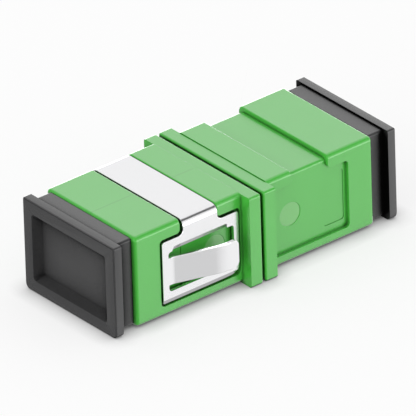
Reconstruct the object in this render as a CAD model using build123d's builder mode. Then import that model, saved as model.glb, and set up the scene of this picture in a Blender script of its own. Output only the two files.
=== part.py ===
from build123d import *
import os

os.makedirs("parts", exist_ok=True)

# Simplex fibre adapter: two welded housing halves, a spring clip, inner latches, a sleeve and two caps.
# All sizes are in millimetres. X runs along the adapter from the plane between the halves,
# Y runs across it and Z runs up from the face that it lies on.
# Every piece is drawn on the +X side, and the pieces of the other half are the same ones turned round.

# Port for the connector plug, the walls of the housing block round it, and the height of the feet under it
port_width = 9.0
port_height = 7.4
port_corner = 0.3
port_chamfer = 0.3
side_wall = 1.9
top_wall = 0.975
half_length = 14.1
foot_drop = 0.2
edge_radius = 0.45
end_radius = 0.3
keyway_width = 2.3
keyway_length = 7.0

# Flange, whose top sits a little under the block's, and the plane where the halves are welded
flange_overhang = 1.2
flange_thickness = 1.4
flange_top_step = 0.1
flange_corner = 0.25
seam_radius = 0.2
split_gap = 0.3
weld_land_inset = 0.55

# Track of the clip: a channel over the top that opens into a recess in each side, between two shoulders
recess_step = 0.22
inner_shoulder = 2.68
channel_width = 4.35
outer_shoulder = 2.4
channel_depth = 0.45
recess_depth = 0.4
sill_height = 0.97
shoulder_drop = 1.37
recess_corner = 0.4
track_radius = 0.3
step_radius = 0.12

# Moulding marks on the floor of each side recess: an ejector disc and a shallow panel
mark_depth = 0.06
disc_radius = 1.22
disc_inset = 2.72
panel_width = 2.4
panel_corner = 0.3
panel_end_inset = 0.36
panel_edge_inset = 0.83

# Spring clip, folded from one sheet
sheet = 0.35
bend_inside = 0.4
plate_corner = 0.3
plate_toe_corner = 1.0
shoulder_corner = 0.5

# Gaps round the clip in its track, and how far its plates stand out of the recesses
strap_clearance = 0.05
plate_proud = 0.2
strap_gap_inner = 0.07
strap_gap_outer = 0.2
plate_gap_inner = 0.32
plate_gap_outer = 0.1
plate_gap_below = 0.3
plate_gap_above = 0.18

# Window of the clip, with the coined bevels on its upper edge and on the plate's foot
inner_stile = 0.56
outer_stile = 0.7
lower_rail = 1.15
upper_rail = 1.25
window_corner = 0.32
bevel_depth = 0.18
bevel_height = 0.45
bevel_inset_inner = 0.8
bevel_inset_outer = 0.45
bevel_slant = 0.25
bevel_corner = 0.15

# Spring tongue, which leaves the plate at its outer end and leans out past the flange's edge
slot_below = 0.66
slot_above = 0.64
tongue_tab = 0.35
tongue_flat = 0.25
tongue_bend_radius = 1.5
tip_gap = 1.75
tip_length = 1.6
tip_overhang = 0.55
tip_dip = 0.12
tip_radius = 5.0
tip_upper_corner = 0.6
tip_lower_corner = 0.5

# Split sleeve for the two ferrules
ferrule_diameter = 2.5
sleeve_wall = 0.35
sleeve_length = 11.4
sleeve_slit = 0.4
sleeve_chamfer = 0.1

# Latch holder: a plate trapped between the halves, with a barrel and two hooked arms
holder_plate = 1.2
seat_ledge = 0.4
fit_clearance = 0.05
barrel_wall = 0.7
barrel_lip = 0.55
lip_clearance = 0.2
barrel_chamfer = 0.25
arm_gap = 0.3
arm_thickness = 0.85
arm_width = 3.6
arm_length = 7.6
hook_height = 0.55
hook_length = 1.1
hook_nose = 0.25

# Dust cap
cap_clearance = 0.1
cap_shoulder_gap = 0.05
collar_length = 1.69
collar_corner = 0.25
collar_step_side = 0.54
collar_step_top = 0.17
collar_step_foot = 0.15
cap_overhang = 0.2
cap_flange_thickness = 0.94
cap_top_corner = 0.2
cap_foot_corner = 0.6
cap_edge_chamfer = 0.12
plug_tip_gap = 0.85
plug_wall = 0.8
plug_corner = 0.35
plug_chamfer = 0.3
cap_web = 1.0
pocket_rim = 1.27
pocket_depth = 0.65
pocket_corner = 0.35

# Margin by which a cut runs past the face that it opens, and the one within which an edge is picked
overrun = 1.0
pick_margin = 0.01

# Outer sizes of the housing, which rests on its flange and on the feet of the two caps
body_width = port_width + 2 * side_wall
body_height = port_height + 2 * top_wall
underside = foot_drop
top_face = underside + body_height
mid_height = underside + body_height / 2
flange_width = body_width + 2 * flange_overhang
flange_height = body_height + foot_drop - flange_top_step
flange_face = split_gap / 2 + flange_thickness

# Place of the clip's track and of the panel in its floor
recess_start = flange_face + recess_step
channel_start = recess_start + inner_shoulder
channel_end = channel_start + channel_width
recess_end = channel_end + outer_shoulder
recess_bottom = underside + sill_height
recess_top = top_face - shoulder_drop
recess_floor = body_width / 2 - recess_depth
channel_floor = top_face - channel_depth
panel_end = recess_end - panel_end_inset
panel_height = recess_top - recess_bottom - 2 * panel_edge_inset

# Place of the clip and its window
clip_outside = body_width / 2 + plate_proud
clip_inside = clip_outside - sheet
strap_start = channel_start + strap_gap_inner
strap_end = channel_end - strap_gap_outer
strap_underside = channel_floor + strap_clearance
leg_top = strap_underside - bend_inside
plate_start = recess_start + plate_gap_inner
plate_end = recess_end - plate_gap_outer
plate_bottom = recess_bottom + plate_gap_below
plate_top = recess_top - plate_gap_above
window_start = plate_start + inner_stile
window_end = plate_end - outer_stile
window_bottom = plate_bottom + lower_rail
window_top = plate_top - upper_rail

# Place of the tongue: its root, its bend, the crest that stands outside the flange and its tip
tongue_bottom = window_bottom + slot_below
tongue_top = window_top - slot_above
tongue_root = window_end - tongue_tab
tongue_bend = tongue_root - tongue_flat
tip_end = flange_face + tip_gap
crest = tip_end + tip_length
crest_reach = flange_width / 2 + tip_overhang - sheet

# Radii and depths of the sleeve's seat
bore_radius = ferrule_diameter / 2
sleeve_radius = bore_radius + sleeve_wall
barrel_bore = sleeve_radius + fit_clearance
barrel_radius = barrel_bore + barrel_wall
barrel_floor = sleeve_length / 2 + fit_clearance
barrel_mouth = barrel_floor + barrel_lip

# The pieces of the front half are those of the rear half, turned round
turned = (0, 0, 180)


# Rear housing half
with BuildPart() as rear_housing:
    # Block with rounded long edges and a rounded end
    with BuildSketch(Plane.YZ.offset(flange_face)):
        with Locations((0, mid_height)):
            RectangleRounded(body_width, body_height, edge_radius)
    extrude(amount=half_length - flange_face)
    fillet(rear_housing.faces().sort_by(Axis.X)[-1].edges(), end_radius)

    # Strap channel across the top
    with BuildSketch(Plane.XY.offset(channel_floor)):
        with Locations(((channel_start + channel_end) / 2, 0)):
            Rectangle(channel_end - channel_start, body_width + 2 * overrun)
    extrude(amount=channel_depth + overrun, mode=Mode.SUBTRACT)

    step_edges = rear_housing.edges().filter_by(Axis.Y).filter_by(
        lambda edge: abs(edge.center().Z - top_face) < pick_margin
        and channel_start - pick_margin < edge.center().X < channel_end + pick_margin
    )
    fillet(step_edges, step_radius)

    # Recess in each side, open to the channel between two rounded shoulders
    for side in (-1, 1):
        with BuildSketch(Plane.XZ.offset(side * recess_floor)) as track:
            with Locations(((recess_start + recess_end) / 2, (recess_bottom + recess_top) / 2)):
                Rectangle(recess_end - recess_start, recess_top - recess_bottom)
            with Locations(((channel_start + channel_end) / 2, mid_height + overrun)):
                Rectangle(channel_end - channel_start, body_height)
            fillet(track.vertices(), recess_corner)
        extrude(amount=side * (recess_depth + overrun), mode=Mode.SUBTRACT)

    # Rounded edges under the strap's bends
    bend_edges = rear_housing.edges().filter_by(Axis.X).filter_by(
        lambda edge: abs(edge.center().Z - channel_floor) < pick_margin
        and abs(abs(edge.center().Y) - recess_floor) < pick_margin
    )
    fillet(bend_edges, track_radius)

    # Flange with a rounded edge along the seam, and the land inside it that meets the other half
    with BuildSketch(Plane.YZ.offset(split_gap / 2)):
        with Locations((0, flange_height / 2)):
            RectangleRounded(flange_width, flange_height, flange_corner)
    extrude(amount=flange_thickness)
    fillet(rear_housing.faces().sort_by(Axis.X)[0].edges(), seam_radius)
    with BuildSketch(Plane.YZ):
        with Locations((0, mid_height)):
            Rectangle(body_width - 2 * weld_land_inset, body_height - 2 * weld_land_inset)
    extrude(amount=split_gap / 2)

    # Port right through, with a lead-in at its mouth
    with BuildSketch(Plane.YZ):
        with Locations((0, mid_height)):
            RectangleRounded(port_width, port_height, port_corner)
    extrude(amount=half_length, mode=Mode.SUBTRACT)
    chamfer(rear_housing.faces().sort_by(Axis.X)[-1].inner_wires()[0].edges(), port_chamfer)

    # Seat for the latch holder's plate
    with BuildSketch(Plane.YZ):
        with Locations((0, mid_height)):
            Rectangle(port_width + 2 * seat_ledge, port_height)
    extrude(amount=holder_plate + fit_clearance, mode=Mode.SUBTRACT)

    # Keyway in the underside, open at the mouth
    with BuildSketch(Plane.XY):
        with Locations((half_length - keyway_length / 2, 0)):
            Rectangle(keyway_length, keyway_width)
    extrude(amount=mid_height, mode=Mode.SUBTRACT)

    # Ejector disc and shallow panel in the floor of each recess
    for side in (-1, 1):
        with BuildSketch(Plane.XZ.offset(side * recess_floor)):
            with Locations((recess_start + disc_inset, mid_height)):
                Circle(disc_radius)
            with Locations((panel_end - panel_width / 2, (recess_bottom + recess_top) / 2)):
                RectangleRounded(panel_width, panel_height, panel_corner)
        extrude(amount=-side * mark_depth, mode=Mode.SUBTRACT)
rear_housing.part.label = "rear_housing"
export_step(rear_housing.part, "parts/rear_housing.step")


# Front housing half, the same moulding turned round
with BuildPart() as front_housing:
    add(rear_housing.part, rotation=turned)
front_housing.part.label = "front_housing"
export_step(front_housing.part, "parts/front_housing.step")


# Spring tongue of the clip, bent out of the plate and curled at its tip
with BuildPart() as tongue:
    with BuildSketch(Plane.XY.offset(tongue_bottom)):
        with BuildLine():
            FilletPolyline(
                (tongue_root, -clip_inside),
                (tongue_bend, -clip_inside),
                (crest, -crest_reach),
                (tip_end, tip_dip - crest_reach),
                radius=(tongue_bend_radius, tip_radius),
            )
            offset(amount=sheet, side=Side.LEFT)
        make_face()
    extrude(amount=tongue_top - tongue_bottom)
    tip = tongue.part.bounding_box().min.X
    with BuildSketch(Plane.XZ) as tongue_outline:
        with Locations((tip, tongue_bottom)):
            Rectangle(tongue_root - tip, tongue_top - tongue_bottom, align=(Align.MIN, Align.MIN))
        fillet(tongue_outline.vertices().sort_by_distance((tip, tongue_bottom))[0], tip_lower_corner)
        fillet(tongue_outline.vertices().sort_by_distance((tip, tongue_top))[0], tip_upper_corner)
    extrude(amount=body_width, mode=Mode.INTERSECT)


# Bevels coined into one plate of the clip: one along the window's upper edge and one along the foot
with BuildPart() as coined_bevels:
    for bevel_base in (window_top, plate_bottom):
        with BuildSketch(Plane.YZ.offset(plate_start)):
            with BuildLine():
                Polyline(
                    (-clip_outside, bevel_base + bevel_height),
                    (-clip_outside, bevel_base),
                    (bevel_depth - clip_outside, bevel_base),
                    close=True,
                )
            make_face()
        extrude(amount=plate_end - plate_start)
    # The upper one stops short of the window's corners, with slanted and rounded ends
    with BuildSketch(Plane.XZ.offset(clip_inside)) as bevel_outline:
        with BuildLine():
            Polyline(
                (window_start + bevel_inset_inner, window_top),
                (window_start + bevel_inset_inner, window_top + bevel_height),
                (window_end - bevel_inset_outer - bevel_slant, window_top + bevel_height),
                (window_end - bevel_inset_outer, window_top),
                close=True,
            )
        make_face()
        fillet(bevel_outline.vertices().group_by(Axis.Y)[-1], bevel_corner)
        with Locations(((plate_start + plate_end) / 2, plate_bottom)):
            Rectangle(plate_end - plate_start, 2 * bevel_height)
    extrude(amount=sheet, mode=Mode.INTERSECT)


# Mounting clip: strap over the top and a windowed plate on each side
with BuildPart() as clip_blank:
    with BuildSketch(Plane.YZ.offset(strap_start)):
        with BuildLine():
            FilletPolyline(
                (-clip_inside, plate_top),
                (-clip_inside, strap_underside),
                (clip_inside, strap_underside),
                (clip_inside, plate_top),
                radius=bend_inside,
            )
            offset(amount=sheet, side=Side.LEFT)
        make_face()
    extrude(amount=strap_end - strap_start)
    for side in (-1, 1):
        with BuildSketch(Plane.XZ.offset(side * clip_inside)) as plate:
            with Locations((plate_start, plate_bottom)):
                Rectangle(plate_end - plate_start, plate_top - plate_bottom, align=(Align.MIN, Align.MIN))
            with Locations((strap_start, mid_height)):
                Rectangle(strap_end - strap_start, leg_top - mid_height, align=(Align.MIN, Align.MIN))
            for corner, radius in (
                ((strap_start, plate_top), shoulder_corner),
                ((strap_end, plate_top), shoulder_corner),
                ((plate_start, plate_bottom), plate_toe_corner),
                ((plate_start, plate_top), plate_corner),
                ((plate_end, plate_top), plate_corner),
                ((plate_end, plate_bottom), plate_corner),
            ):
                fillet(plate.vertices().sort_by_distance(corner)[0], radius)
            with Locations(((window_start + window_end) / 2, (window_bottom + window_top) / 2)):
                RectangleRounded(
                    window_end - window_start, window_top - window_bottom, window_corner, mode=Mode.SUBTRACT
                )
            with Locations((tongue_root, tongue_bottom)):
                Rectangle(plate_end - tongue_root, tongue_top - tongue_bottom, align=(Align.MIN, Align.MIN))
        extrude(amount=side * sheet)
    add(coined_bevels.part, mode=Mode.SUBTRACT)
    add(mirror(coined_bevels.part, about=Plane.XZ), mode=Mode.SUBTRACT)
    add(tongue.part)
    add(mirror(tongue.part, about=Plane.XZ))

with BuildPart() as mounting_clip:
    add(clip_blank.part, rotation=turned)
mounting_clip.part.label = "mounting_clip"
export_step(mounting_clip.part, "parts/mounting_clip.step")


# Rear latch holder: plate, sleeve barrel and two hooked arms in one moulding
arm_outside = port_width / 2 - arm_gap
arm_inside = arm_outside - arm_thickness
hook_catch = arm_length - hook_length

with BuildPart() as rear_latch_holder:
    with BuildSketch(Plane.YZ):
        with Locations((0, mid_height)):
            Rectangle(port_width + 2 * (seat_ledge - fit_clearance), port_height - 2 * fit_clearance)
    extrude(amount=holder_plate)

    # Arms with inward hooks that have a lead-in at the tip
    with BuildSketch(Plane.XY.offset(mid_height - arm_width / 2)):
        for side in (-1, 1):
            with BuildLine():
                Polyline(
                    (0, side * arm_outside),
                    (arm_length, side * arm_outside),
                    (arm_length, side * (arm_outside - hook_nose)),
                    (hook_catch + hook_nose, side * (arm_inside - hook_height)),
                    (hook_catch, side * (arm_inside - hook_height)),
                    (hook_catch, side * arm_inside),
                    (0, side * arm_inside),
                    close=True,
                )
            make_face()
    extrude(amount=arm_width)

    # Barrel, with a lip at its mouth that keeps the sleeve in
    with BuildSketch(Plane.XZ):
        with BuildLine():
            Polyline(
                (0, mid_height),
                (0, mid_height + barrel_radius),
                (barrel_mouth - barrel_chamfer, mid_height + barrel_radius),
                (barrel_mouth, mid_height + barrel_radius - barrel_chamfer),
                (barrel_mouth, mid_height),
                close=True,
            )
        make_face()
    barrel_axis = Axis((0, 0, mid_height), (1, 0, 0))
    revolve(axis=barrel_axis)
    with BuildSketch(Plane.YZ):
        with Locations((0, mid_height)):
            Circle(barrel_bore)
    extrude(amount=barrel_floor, mode=Mode.SUBTRACT)
    with BuildSketch(Plane.YZ):
        with Locations((0, mid_height)):
            Circle(bore_radius + lip_clearance)
    extrude(amount=barrel_mouth, mode=Mode.SUBTRACT)
rear_latch_holder.part.label = "rear_latch_holder"
export_step(rear_latch_holder.part, "parts/rear_latch_holder.step")


# Front latch holder, the same moulding turned round
with BuildPart() as front_latch_holder:
    add(rear_latch_holder.part, rotation=turned)
front_latch_holder.part.label = "front_latch_holder"
export_step(front_latch_holder.part, "parts/front_latch_holder.step")


# Split sleeve, slit along its top
with BuildPart() as split_sleeve:
    with BuildSketch(Plane.YZ.offset(-sleeve_length / 2)):
        with Locations((0, mid_height)):
            Circle(sleeve_radius)
            Circle(bore_radius, mode=Mode.SUBTRACT)
    extrude(amount=sleeve_length)
    chamfer(split_sleeve.edges().filter_by(GeomType.CIRCLE), sleeve_chamfer)
    with BuildSketch(Plane.XY.offset(mid_height)):
        Rectangle(sleeve_length + 2 * overrun, sleeve_slit)
    extrude(amount=sleeve_radius + overrun, mode=Mode.SUBTRACT)
split_sleeve.part.label = "split_sleeve"
export_step(split_sleeve.part, "parts/split_sleeve.step")


# Rear dust cap
cap_shoulder = half_length + cap_shoulder_gap
cap_flange_back = cap_shoulder + collar_length
cap_face = cap_flange_back + cap_flange_thickness
cap_flange_width = body_width + 2 * cap_overhang
cap_flange_height = body_height + foot_drop
cap_flange_middle = cap_flange_height / 2
collar_width = body_width - 2 * collar_step_side
collar_height = body_height - collar_step_foot - collar_step_top
plug_width = port_width - 2 * cap_clearance
plug_height = port_height - 2 * cap_clearance
plug_length = cap_shoulder - arm_length - plug_tip_gap
pocket_width = cap_flange_width - 2 * pocket_rim
pocket_height = cap_flange_height - 2 * pocket_rim

with BuildPart() as rear_dust_cap:
    # Collar that stands off the end of the housing
    with BuildSketch(Plane.YZ.offset(cap_shoulder)):
        with Locations((0, underside + collar_step_foot + collar_height / 2)):
            RectangleRounded(collar_width, collar_height, collar_corner)
    extrude(amount=collar_length)

    # Hollow plug that fills the port
    with BuildSketch(Plane.YZ.offset(cap_shoulder)):
        with Locations((0, mid_height)):
            RectangleRounded(plug_width, plug_height, plug_corner)
    extrude(amount=-plug_length)
    chamfer(rear_dust_cap.faces().sort_by(Axis.X)[0].edges(), plug_chamfer)

    # End flange, with rounder corners at its foot
    with BuildSketch(Plane.YZ.offset(cap_flange_back)) as cap_flange:
        with Locations((0, cap_flange_middle)):
            Rectangle(cap_flange_width, cap_flange_height)
        fillet(cap_flange.vertices().group_by(Axis.Y)[0], cap_foot_corner)
        fillet(cap_flange.vertices().group_by(Axis.Y)[-1], cap_top_corner)
    extrude(amount=cap_flange_thickness)
    chamfer(rear_dust_cap.faces().sort_by(Axis.X)[-1].edges(), cap_edge_chamfer)

    # Cavity of the plug, which runs on under the collar up to the web behind the pocket
    with BuildSketch(Plane.YZ.offset(cap_face - pocket_depth - cap_web)):
        with Locations((0, mid_height)):
            Rectangle(plug_width - 2 * plug_wall, plug_height - 2 * plug_wall)
    extrude(amount=-cap_face, mode=Mode.SUBTRACT)

    # Bevelled pocket in the end face
    with BuildSketch(Plane.YZ.offset(cap_face)):
        with Locations((0, cap_flange_middle)):
            RectangleRounded(pocket_width, pocket_height, pocket_corner)
    with BuildSketch(Plane.YZ.offset(cap_face - pocket_depth)):
        with Locations((0, cap_flange_middle)):
            RectangleRounded(
                pocket_width - 2 * pocket_depth, pocket_height - 2 * pocket_depth, pocket_corner / 2
            )
    loft(ruled=True, mode=Mode.SUBTRACT)
rear_dust_cap.part.label = "rear_dust_cap"
export_step(rear_dust_cap.part, "parts/rear_dust_cap.step")


# Front dust cap, the same moulding turned round
with BuildPart() as front_dust_cap:
    add(rear_dust_cap.part, rotation=turned)
front_dust_cap.part.label = "front_dust_cap"
export_step(front_dust_cap.part, "parts/front_dust_cap.step")
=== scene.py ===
import math

import bmesh
import bpy
from mathutils import Matrix, Vector


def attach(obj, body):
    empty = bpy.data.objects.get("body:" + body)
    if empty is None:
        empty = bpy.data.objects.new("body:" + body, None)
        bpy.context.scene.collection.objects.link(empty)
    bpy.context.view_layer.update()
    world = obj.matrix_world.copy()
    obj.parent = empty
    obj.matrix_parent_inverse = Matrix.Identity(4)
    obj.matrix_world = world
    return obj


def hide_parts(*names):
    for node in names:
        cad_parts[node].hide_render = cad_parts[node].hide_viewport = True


# Packed adapter
# Its eight pieces come from the CAD model, and keep their places and sizes here.
bpy.ops.wm.read_factory_settings(use_empty=True)
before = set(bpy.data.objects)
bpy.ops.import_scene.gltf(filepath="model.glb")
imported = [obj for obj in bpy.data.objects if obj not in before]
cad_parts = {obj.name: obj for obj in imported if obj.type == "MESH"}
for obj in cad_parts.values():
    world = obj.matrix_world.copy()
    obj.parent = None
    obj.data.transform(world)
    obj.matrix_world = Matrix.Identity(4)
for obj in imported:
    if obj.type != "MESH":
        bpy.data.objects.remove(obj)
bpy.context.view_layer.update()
scene = bpy.context.scene
scene.view_settings.view_transform = "Standard"
millimetre = 0.001


# Camera
# A very long lens far off, so the adapter's long edges stay almost parallel, as in a product picture.
# The camera looks down on the front cap, the top and one side at once.
camera_data = bpy.data.cameras.new("camera")
camera_data.sensor_width = 36
camera_data.lens = 1600
camera_data.clip_start = 0.01
camera_data.clip_end = 10
camera = bpy.data.objects.new("camera", camera_data)
camera.location = (-0.92222, -1.15368, 0.84444)
turned_right, tipped_down, leant_right = 38.628, 29.620, 1.809
turn = Matrix.Rotation(math.radians(-turned_right), 3, "Z")
tip = Matrix.Rotation(math.radians(90 - tipped_down), 3, "X")
lean = Matrix.Rotation(math.radians(-leant_right), 3, "Z")
camera.rotation_euler = (turn @ tip @ lean).to_euler()
scene.collection.objects.link(camera)
scene.camera = camera


# Floor
# A pale paper floor that runs out of sight. It keeps the adapter's real shadow, and a painted shade makes it darker
# close under it.
# Mirrored rays pass through it, and see the room instead.
floor_size = 1.5
floor_mesh = bpy.data.meshes.new("floor")
floor_mesh.from_pydata(
    [(x * floor_size, y * floor_size, 0) for x, y in ((-1, -1), (1, -1), (1, 1), (-1, 1))], [], [(0, 1, 2, 3)]
)
floor = bpy.data.objects.new("floor", floor_mesh)
scene.collection.objects.link(floor)
floor.visible_glossy = False


def put(tree, kind, feeds=None, **settings):
    """Adds a node to a tree with its settings, and feeds each input from a socket or with a plain value."""
    node = tree.nodes.new(kind)
    for name, value in settings.items():
        setattr(node, name, value)
    for name, value in (feeds or {}).items():
        if isinstance(value, bpy.types.NodeSocket):
            tree.links.new(value, node.inputs[name])
        else:
            node.inputs[name].default_value = value
    return node


def maths(tree, operation, *terms):
    """Adds one step of arithmetic on sockets or numbers, and gives the socket of its answer."""
    return put(tree, "ShaderNodeMath", dict(enumerate(terms)), operation=operation).outputs["Value"]


def mapped(tree, value, start, end, low=0, high=1, blend="LINEAR"):
    """Turns a socket's values from start to end into values from low to high, and gives the new socket."""
    feeds = {"Value": value, "From Min": start, "From Max": end, "To Min": low, "To Max": high}
    return put(tree, "ShaderNodeMapRange", feeds, interpolation_type=blend).outputs["Result"]


def blended(tree, kind, share, first, second, **settings):
    """Mixes two shaders or colours, where a share of 1 gives all of the second, and gives the mixing node."""
    names = ("Fac", 1, 2) if kind == "ShaderNodeMixShader" else ("Factor", "A", "B")
    return put(tree, kind, dict(zip(names, (share, first, second))), **settings)


paper = bpy.data.materials.new("floor_paper")
paper.use_nodes = True
tree = paper.node_tree
tree.nodes.clear()
sheet = put(tree, "ShaderNodeBsdfDiffuse", {"Color": (0.93, 0.93, 0.93, 1)})
# the paper's glow carries a painted contact shade, darker where a point is closed in within 2 mm
painted_shade_reach = 2 * millimetre
painted_contact_shade = put(tree, "ShaderNodeAmbientOcclusion", {"Distance": painted_shade_reach, "Color": (1, 1, 1, 1)}, samples=12)
glow = put(tree, "ShaderNodeEmission", {"Color": painted_contact_shade.outputs["Color"]})
glow_strength = 0.7
glow_seen = maths(tree, "MULTIPLY", put(tree, "ShaderNodeLightPath").outputs["Is Camera Ray"], glow_strength)
lit_sheet = blended(tree, "ShaderNodeMixShader", glow_seen, sheet.outputs["BSDF"], glow.outputs["Emission"])
put(tree, "ShaderNodeOutputMaterial", {"Surface": lit_sheet.outputs["Shader"]})
floor_mesh.materials.append(paper)


# Studio
# A white tent fills the shadows, with a dim strip low on the near right and a large soft box before the front cap.
# Mirrored rays see a plainer room, which gives the edges and the bright clip their light and dark lines.
air = bpy.data.worlds.new("studio_air")
air.use_nodes = True
scene.world = air
tree = air.node_tree
tree.nodes.clear()
fill = put(tree, "ShaderNodeBackground", {"Color": (1, 1, 1, 1), "Strength": 0.95})
backdrop = put(tree, "ShaderNodeBackground", {"Color": (0.965, 0.965, 0.965, 1), "Strength": 1})
way = put(tree, "ShaderNodeTexCoord").outputs["Generated"]
axes = put(tree, "ShaderNodeSeparateXYZ", {"Vector": way})
right, away, up = axes.outputs["X"], axes.outputs["Y"], axes.outputs["Z"]

# the room is bright on the right and dim on the left, with a dark patch high on the near right and a dimmer floor
lit_from_right = mapped(tree, right, start=-0.75, end=0.6, low=0.14, high=1, blend="SMOOTHSTEP")
patch_middle = (0.543, -0.371, 0.755)
patch_closeness = put(tree, "ShaderNodeVectorMath", {0: way, 1: patch_middle}, operation="DOT_PRODUCT")
outside_patch = mapped(
    tree, patch_closeness.outputs["Value"], start=0.955, end=0.985, low=1, high=0.1, blend="SMOOTHSTEP"
)
above_floor = mapped(tree, up, start=-0.78, end=-0.6, low=0.5, high=1, blend="SMOOTHSTEP")
walls = maths(tree, "MULTIPLY", maths(tree, "MULTIPLY", lit_from_right, outside_patch), above_floor)

# a bright band runs level with the adapter on the near side, and a brighter one on the far right
band = put(tree, "ShaderNodeValToRGB", {"Fac": mapped(tree, up, start=-1, end=1)})
band_stops = band.color_ramp.elements
band_stops[0].position, band_stops[0].color = 0.33, (0, 0, 0, 1)
band_stops[1].position, band_stops[1].color = 0.80, (0, 0, 0, 1)
for stop_height, brightness in ((0.38, 0.8), (0.52, 0.8), (0.57, 0.1), (0.65, 0.1), (0.68, 0)):
    band_stops.new(stop_height).color = (brightness, brightness, brightness, 1)
near_side = mapped(tree, away, start=-0.3, end=-0.6, high=3)
far_right = mapped(tree, maths(tree, "ADD", right, away), start=1.1, end=1.3, high=4)
band_strength = maths(tree, "ADD", near_side, far_right)
room_strength = maths(tree, "MULTIPLY_ADD", band.outputs["Color"], band_strength, walls)
room = put(tree, "ShaderNodeBackground", {"Color": (1, 1, 1, 1), "Strength": room_strength})

ray = put(tree, "ShaderNodeLightPath").outputs
lit = blended(
    tree, "ShaderNodeMixShader", ray["Is Glossy Ray"], fill.outputs["Background"], room.outputs["Background"]
)
all_round = blended(
    tree, "ShaderNodeMixShader", ray["Is Camera Ray"], lit.outputs["Shader"], backdrop.outputs["Background"]
)
put(tree, "ShaderNodeOutputWorld", {"Surface": all_round.outputs["Shader"]})


def soft_box(name, place, size, radiance):
    """Hangs a soft box at a place, facing the adapter, and lights it to a given brightness of its face."""
    lamp = bpy.data.lights.new(name, "AREA")
    lamp.shape = "RECTANGLE"
    lamp.size, lamp.size_y = size
    lamp.energy = radiance * math.pi * size[0] * size[1]
    hung = bpy.data.objects.new(name, lamp)
    hung.location = place
    hung.rotation_euler = Vector(place).to_track_quat("Z", "Y").to_euler()
    scene.collection.objects.link(hung)


soft_box("side_strip", place=(0.43, -0.67, 0.08), size=(0.7, 0.12), radiance=1)
soft_box("front_fill", place=(-0.75, -0.12, 0.12), size=(0.5, 0.4), radiance=3)


# Grain and shade of moulded plastic
# The moulds are spark-eroded, so every moulded face has a fine even grain and a slightly uneven sheen.
# Narrow gaps and deep hollows, where little light gets in, get a painted shade, and each plastic sets how soon its
# hollows go dark.
grain = bpy.data.node_groups.new("mould_grain", "ShaderNodeTree")
for name in ("Scale", "Smooth", "Rough", "Reach", "Closed", "Clear"):
    grain.interface.new_socket(name, in_out="INPUT", socket_type="NodeSocketFloat")
for name in ("Height", "Roughness", "Cloud", "Open"):
    grain.interface.new_socket(name, in_out="OUTPUT", socket_type="NodeSocketFloat")
given = put(grain, "NodeGroupInput").outputs
point = put(grain, "ShaderNodeTexCoord").outputs["Object"]
fine = put(grain, "ShaderNodeTexNoise", {"Vector": point, "Scale": given["Scale"], "Detail": 2}).outputs["Fac"]
broad = put(grain, "ShaderNodeTexNoise", {"Vector": point, "Scale": 260, "Detail": 3}).outputs["Fac"]
# painted shade: how open each point is to narrow gaps and to deep hollows round it
gap_reach = 0.6 * millimetre
gap = put(grain, "ShaderNodeAmbientOcclusion", {"Distance": gap_reach}, samples=8)
gap_open = mapped(grain, gap.outputs["AO"], start=0.3, end=0.75)
hollow = put(grain, "ShaderNodeAmbientOcclusion", {"Distance": given["Reach"]}, samples=8, only_local=True)
hollow_open = mapped(grain, hollow.outputs["AO"], start=given["Closed"], end=given["Clear"])
found = {
    "Height": fine,
    "Roughness": mapped(grain, fine, start=0, end=1, low=given["Smooth"], high=given["Rough"]),
    "Cloud": broad,
    "Open": maths(grain, "MULTIPLY", gap_open, hollow_open),
}
put(grain, "NodeGroupOutput", found)


def moulded_plastic(
    name, colour, shade, smooth, rough, grain_scale, depth, ior, gloss=1.5, reach=0.9, hollows=(0.1, 0.6)
):
    """A moulded plastic whose colour drifts a little towards a second shade, with a skin that shines at a slant."""
    material = bpy.data.materials.new(name)
    material.use_nodes = True
    tree = material.node_tree
    tree.nodes.clear()
    wanted = {"Scale": grain_scale, "Smooth": smooth, "Rough": rough, "Reach": reach * millimetre}
    wanted["Closed"], wanted["Clear"] = hollows
    mould = put(tree, "ShaderNodeGroup", wanted, node_tree=grain).outputs
    bump = put(tree, "ShaderNodeBump", {"Strength": 1, "Distance": depth, "Height": mould["Height"]})
    tint = blended(tree, "ShaderNodeMix", mould["Cloud"], (*colour, 1), (*shade, 1), data_type="RGBA")
    # painted shade: the colour goes nearly black, and the slanted sheen fades, where a point is closed in
    darkest = 0.05
    shadow = tuple(darkest * channel for channel in colour)
    shaded = blended(
        tree, "ShaderNodeMix", mould["Open"], (*shadow, 1), tint.outputs["Result"], data_type="RGBA"
    )
    slant = mapped(tree, put(tree, "ShaderNodeLayerWeight").outputs["Facing"], start=0, end=0.5)
    skin = {
        "Base Color": shaded.outputs["Result"],
        "Roughness": mould["Roughness"],
        "IOR": ior,
        "Normal": bump.outputs["Normal"],
        "Coat Weight": maths(tree, "MULTIPLY", slant, mould["Open"]),
        "Coat IOR": gloss,
        "Coat Roughness": 0.25,
    }
    shader = put(tree, "ShaderNodeBsdfPrincipled", skin)
    put(tree, "ShaderNodeOutputMaterial", {"Surface": shader.outputs["BSDF"]})
    return material


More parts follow.
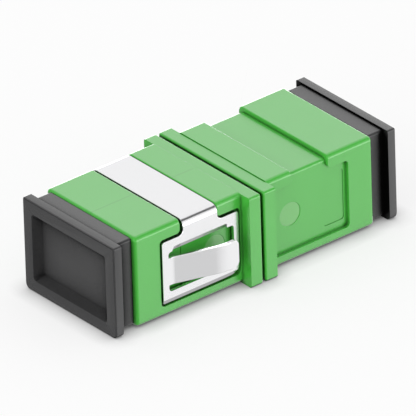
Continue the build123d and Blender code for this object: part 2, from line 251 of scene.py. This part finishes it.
# Rounds on sharp edges
# A mould or a tumbler leaves a small round on every sharp edge, which catches the light.
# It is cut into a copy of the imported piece, and narrower where a neighbouring edge is short.
def softened(node, name, width, merge=0.002, fold=50):
    """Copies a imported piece, joins points closer than merge in millimetres, and rounds its sharp edges.

    Faces that meet within fold in degrees are shaded as one.
    """
    flat, sharp = math.radians(1), math.radians(30)
    least_room, share_of_room = 0.05 * millimetre, 0.4
    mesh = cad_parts[node].data.copy()
    shape = bmesh.new()
    shape.from_mesh(mesh)
    bmesh.ops.remove_doubles(shape, verts=shape.verts, dist=merge * millimetre)
    bmesh.ops.dissolve_limit(shape, angle_limit=flat, verts=shape.verts, edges=shape.edges)
    rounding = shape.edges.layers.float.new("bevel_weight_edge")
    for edge in shape.edges:
        if edge.calc_face_angle(0) > sharp:
            room = min(near.calc_length() for corner in edge.verts for near in corner.link_edges)
            edge[rounding] = min(1, share_of_room * room / width) if room > least_room else 0
    shape.to_mesh(mesh)
    shape.free()
    if mesh.has_custom_normals:
        mesh.attributes.remove(mesh.attributes["custom_normal"])
    blank = bpy.data.objects.new(name + "_blank", mesh)
    scene.collection.objects.link(blank)
    bevel = blank.modifiers.new("edges", "BEVEL")
    bevel.limit_method = "WEIGHT"
    bevel.width = width
    bevel.segments = 2
    bevel.use_clamp_overlap = False
    bevel.loop_slide = False
    graph = bpy.context.evaluated_depsgraph_get()
    done = bpy.data.meshes.new_from_object(blank.evaluated_get(graph), preserve_all_data_layers=True, depsgraph=graph)
    bpy.data.objects.remove(blank)
    smooth_shading(done, fold)
    piece = bpy.data.objects.new(name, done)
    scene.collection.objects.link(piece)
    return piece


def smooth_shading(mesh, fold):
    """Shades each face corner by the faces that run on smoothly from it, where a larger face counts for more."""
    shape = bmesh.new()
    shape.from_mesh(mesh)
    area = [face.calc_area() for face in shape.faces]
    limit = math.cos(math.radians(fold))
    directions = []
    for face in shape.faces:
        face.smooth = True
        for corner in face.loops:
            total = Vector()
            for near in corner.vert.link_faces:
                if near.normal.dot(face.normal) > limit:
                    total += near.normal * area[near.index]
            directions.append(total.normalized())
    shape.to_mesh(mesh)
    shape.free()
    mesh.normals_split_custom_set(directions)


# Housing halves
# Two like halves of glass-filled green plastic, welded face to face at the flange.
# The clip's track runs round the front half and stays empty on the rear one.
green = moulded_plastic(
    "green_plastic",
    colour=(0.052, 0.445, 0.038),
    shade=(0.062, 0.470, 0.048),
    smooth=0.20,
    rough=0.30,
    grain_scale=9000,
    depth=0.000004,
    ior=1.35,
    gloss=2.2,
)
tree = green.node_tree
shader = tree.nodes["Principled BSDF"]
surface = shader.inputs["Base Color"].links[0].from_socket
spot = put(tree, "ShaderNodeSeparateXYZ", {"Vector": put(tree, "ShaderNodeTexCoord").outputs["Object"]})
along, across, height = spot.outputs["X"], spot.outputs["Y"], spot.outputs["Z"]

# the mould's parting line runs along the top of the front half, just off the middle
line_place, line_half_width = 0.1 * millimetre, 0.05 * millimetre
top_starts, flange_starts = 9 * millimetre, -1.8 * millimetre
off_line = maths(tree, "ABSOLUTE", maths(tree, "SUBTRACT", across, line_place))
on_line = maths(tree, "LESS_THAN", off_line, line_half_width)
on_top = maths(tree, "GREATER_THAN", height, top_starts)
before_flange = maths(tree, "LESS_THAN", along, flange_starts)
on_parting = maths(tree, "MULTIPLY", maths(tree, "MULTIPLY", on_line, on_top), before_flange)

# an ejector pin leaves a paler disc in the floor of each side recess
disc_place, disc_height, disc_radius = 4.49 * millimetre, 4.875 * millimetre, 1.19 * millimetre
disc_floor = 5.97 * millimetre
beside = maths(tree, "SUBTRACT", maths(tree, "ABSOLUTE", along), disc_place)
above = maths(tree, "SUBTRACT", height, disc_height)
squares = maths(tree, "ADD", maths(tree, "MULTIPLY", beside, beside), maths(tree, "MULTIPLY", above, above))
in_circle = maths(tree, "LESS_THAN", maths(tree, "SQRT", squares), disc_radius)
in_floor = maths(tree, "LESS_THAN", maths(tree, "ABSOLUTE", across), disc_floor)
on_disc = maths(tree, "MULTIPLY", in_circle, in_floor)

for mask, strength, mark in ((on_disc, 0.8, (0.17, 0.52, 0.14)), (on_parting, 0.6, (0.04, 0.30, 0.03))):
    share = maths(tree, "MULTIPLY", mask, strength)
    surface = blended(tree, "ShaderNodeMix", share, surface, (*mark, 1), data_type="RGBA").outputs["Result"]
tree.links.new(surface, shader.inputs["Base Color"])

for node in ("front_housing", "rear_housing"):
    shell = softened(node, node + "_shell", 0.08 * millimetre)
    shell.data.materials.clear()
    shell.data.materials.append(green)
    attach(shell, "adapter")
    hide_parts(node)


# Mounting clip
# One blank of bright stainless spring sheet, pressed, coined and folded, then tempered.
# It snaps round the front half, and its tongues grip the panel against the flange.
steel = bpy.data.materials.new("spring_steel")
steel.use_nodes = True
steel_shader = steel.node_tree.nodes["Principled BSDF"]
steel_shader.inputs["Metallic"].default_value = 1
steel_shader.inputs["Base Color"].default_value = (0.86, 0.86, 0.87, 1)
steel_shader.inputs["Roughness"].default_value = 0.2
clip = softened("mounting_clip", "spring_clip", 0.05 * millimetre, merge=0.012, fold=19)
clip.data.materials.clear()
clip.data.materials.append(steel)
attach(clip, "adapter")
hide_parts("mounting_clip")


# Sleeve and latch holders
# A ground zirconia sleeve, slit along its top, sits in the barrels of two white latch holders.
# They are trapped between the halves and show only once a cap is off.
white = moulded_plastic(
    "white_plastic",
    colour=(0.78, 0.78, 0.74),
    shade=(0.82, 0.82, 0.79),
    smooth=0.4,
    rough=0.5,
    grain_scale=9000,
    depth=0.000004,
    ior=1.5,
)
for node in ("front_latch_holder", "rear_latch_holder"):
    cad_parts[node].material_slots[0].material = white
ceramic = moulded_plastic(
    "ground_ceramic",
    colour=(0.84, 0.83, 0.79),
    shade=(0.86, 0.86, 0.83),
    smooth=0.15,
    rough=0.25,
    grain_scale=12000,
    depth=0.000001,
    ior=2.1,
)
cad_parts["split_sleeve"].material_slots[0].material = ceramic


# Dust caps
# Two like caps of soft black plastic, each with a hollow plug that fills its port.
# The end flange has a bevelled pocket, and a collar keeps it off the housing for a fingernail.
black = moulded_plastic(
    "black_plastic",
    colour=(0.042, 0.042, 0.043),
    shade=(0.050, 0.050, 0.051),
    smooth=0.40,
    rough=0.52,
    grain_scale=8000,
    depth=0.000006,
    ior=1.0,
    gloss=1.9,
    # the painted shade reaches 3 mm into the caps' hollows, so their pockets go dark
    reach=3.0,
    hollows=(0.79, 0.99),
)
for node, body in (("front_dust_cap", "front_cap"), ("rear_dust_cap", "rear_cap")):
    cap = softened(node, node + "_moulding", 0.08 * millimetre)
    cap.data.materials.clear()
    cap.data.materials.append(black)
    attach(cap, body)
    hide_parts(node)
